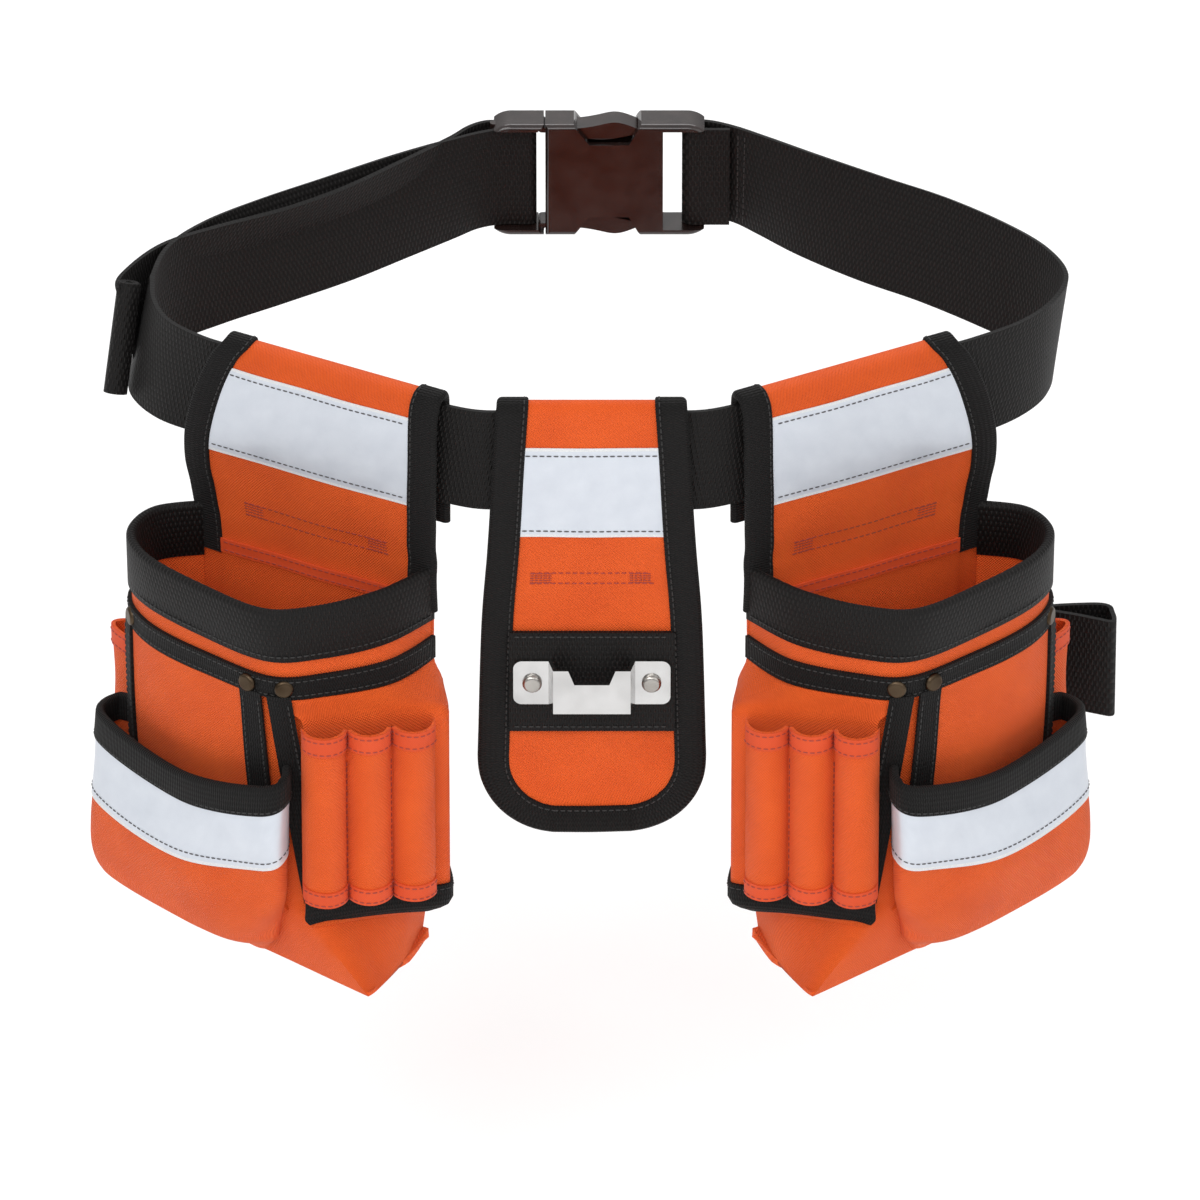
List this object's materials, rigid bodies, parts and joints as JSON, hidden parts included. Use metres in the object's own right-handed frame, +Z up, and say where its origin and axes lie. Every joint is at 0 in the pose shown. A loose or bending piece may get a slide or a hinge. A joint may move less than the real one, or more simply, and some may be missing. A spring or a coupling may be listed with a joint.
{
  "type": "toy tool belt",
  "caption": "Webbing waist belt with a side release buckle, a hammer holder with a steel bracket, and pouches with pockets and tool tubes.",
  "frame": {"origin": "middle of the waist loop, at half the height of the webbing", "axes": "+Z up as worn, -Y towards the front where the pouches hang, +X to the right of someone who looks at the front"},
  "size_m": [0.3546, 0.2537, 0.213],
  "materials": {
    "webbing": "ribbed matt",
    "buckle_plastic": "gloss",
    "chrome_steel": "polished",
    "nickel_rivet": "satin",
    "dark_rivet": "antique",
    "black_binding": "ribbed matt",
    "reflective_tape": "satin",
    "orange_oxford": "oxford weave"
  },
  "bodies": {
    "belt": {"belt_webbing": "webbing", "buckle_female": "buckle_plastic"},
    "buckle_plug": {"buckle_male": "buckle_plastic", "adjuster_strap": "webbing"},
    "tab_upper": {"release_tab_upper": "buckle_plastic"},
    "tab_lower": {"release_tab_lower": "buckle_plastic"},
    "holder_slider": {"holder_sleeve": "orange_oxford", "holder_sleeve_binding": "black_binding", "holder_reflective_band": "reflective_tape"},
    "hammer_holder": {"holder_panel": "orange_oxford", "holder_binding": "black_binding", "holder_patch": "webbing", "hammer_bracket": "chrome_steel", "bracket_rivets": "nickel_rivet", "bracket_washers": "nickel_rivet"},
    "left_slider": {"left_sleeve": "orange_oxford", "left_sleeve_binding": "black_binding", "left_reflective_band": "reflective_tape"},
    "left_pouch": {"left_back_panel": "orange_oxford", "left_back_panel_binding": "black_binding", "left_bag_shell": "orange_oxford", "left_front_panel": "orange_oxford", "left_front_panel_binding": "black_binding", "left_inner_pocket": "orange_oxford", "left_inner_tubes": "orange_oxford", "left_lower_pocket": "orange_oxford", "left_lower_pocket_binding": "black_binding", "left_lower_pocket_reflective": "reflective_tape", "left_mouth_band": "black_binding", "left_outer_tubes": "orange_oxford", "left_rivets": "dark_rivet", "left_second_band": "black_binding", "left_tube_apron": "orange_oxford", "left_tube_apron_binding": "black_binding"},
    "right_slider": {"right_sleeve": "orange_oxford", "right_sleeve_binding": "black_binding", "right_reflective_band": "reflective_tape"},
    "right_pouch": {"right_back_panel": "orange_oxford", "right_back_panel_binding": "black_binding", "right_bag_shell": "orange_oxford", "right_front_panel": "orange_oxford", "right_front_panel_binding": "black_binding", "right_inner_pocket": "orange_oxford", "right_inner_tubes": "orange_oxford", "right_lower_pocket": "orange_oxford", "right_lower_pocket_binding": "black_binding", "right_lower_pocket_reflective": "reflective_tape", "right_mouth_band": "black_binding", "right_outer_tubes": "orange_oxford", "right_rivets": "dark_rivet", "right_second_band": "black_binding", "right_side_loop": "webbing", "right_tube_apron": "orange_oxford", "right_tube_apron_binding": "black_binding"}
  },
  "joints": [
    {"name": "buckle_pull", "type": "slide", "parent": "belt", "child": "buckle_plug", "axis": [-1, 0, 0], "range_m": [0, 0.036]},
    {"name": "upper_tab_squeeze", "type": "hinge", "parent": "buckle_plug", "child": "tab_upper", "pos_m": [-0.0223, 0.1, 0.0194], "axis": [0, 1, 0], "range_deg": [0, 16.5]},
    {"name": "lower_tab_squeeze", "type": "hinge", "parent": "buckle_plug", "child": "tab_lower", "pos_m": [-0.0223, 0.1, -0.0194], "axis": [0, -1, 0], "range_deg": [0, 16.5]},
    {"name": "holder_slide", "type": "slide", "parent": "belt", "child": "holder_slider", "axis": [1, 0, 0], "range_m": [-0.006, 0.006]},
    {"name": "holder_swing", "type": "hinge", "parent": "holder_slider", "child": "hammer_holder", "pos_m": [-0.0045, -0.1076, -0.03], "axis": [-1, 0, 0], "range_deg": [-5, 60]},
    {"name": "left_pouch_slide", "type": "slide", "parent": "belt", "child": "left_slider", "axis": [0.866, -0.5, 0], "range_m": [-0.005, 0.005]},
    {"name": "left_pouch_swing", "type": "hinge", "parent": "left_slider", "child": "left_pouch", "pos_m": [-0.0967, -0.08151, -0.03], "axis": [-0.866, 0.5, 0], "range_deg": [-5, 45]},
    {"name": "right_pouch_slide", "type": "slide", "parent": "belt", "child": "right_slider", "axis": [0.866, 0.5, 0], "range_m": [-0.005, 0.005]},
    {"name": "right_pouch_swing", "type": "hinge", "parent": "right_slider", "child": "right_pouch", "pos_m": [0.0867, -0.08151, -0.03], "axis": [-0.866, -0.5, 0], "range_deg": [-5, 45]}
  ],
  "couplings": [
    {"joint": "upper_tab_squeeze", "follows": "buckle_pull", "rad_per_m": 7.757},
    {"joint": "lower_tab_squeeze", "follows": "buckle_pull", "rad_per_m": 7.757}
  ]
}
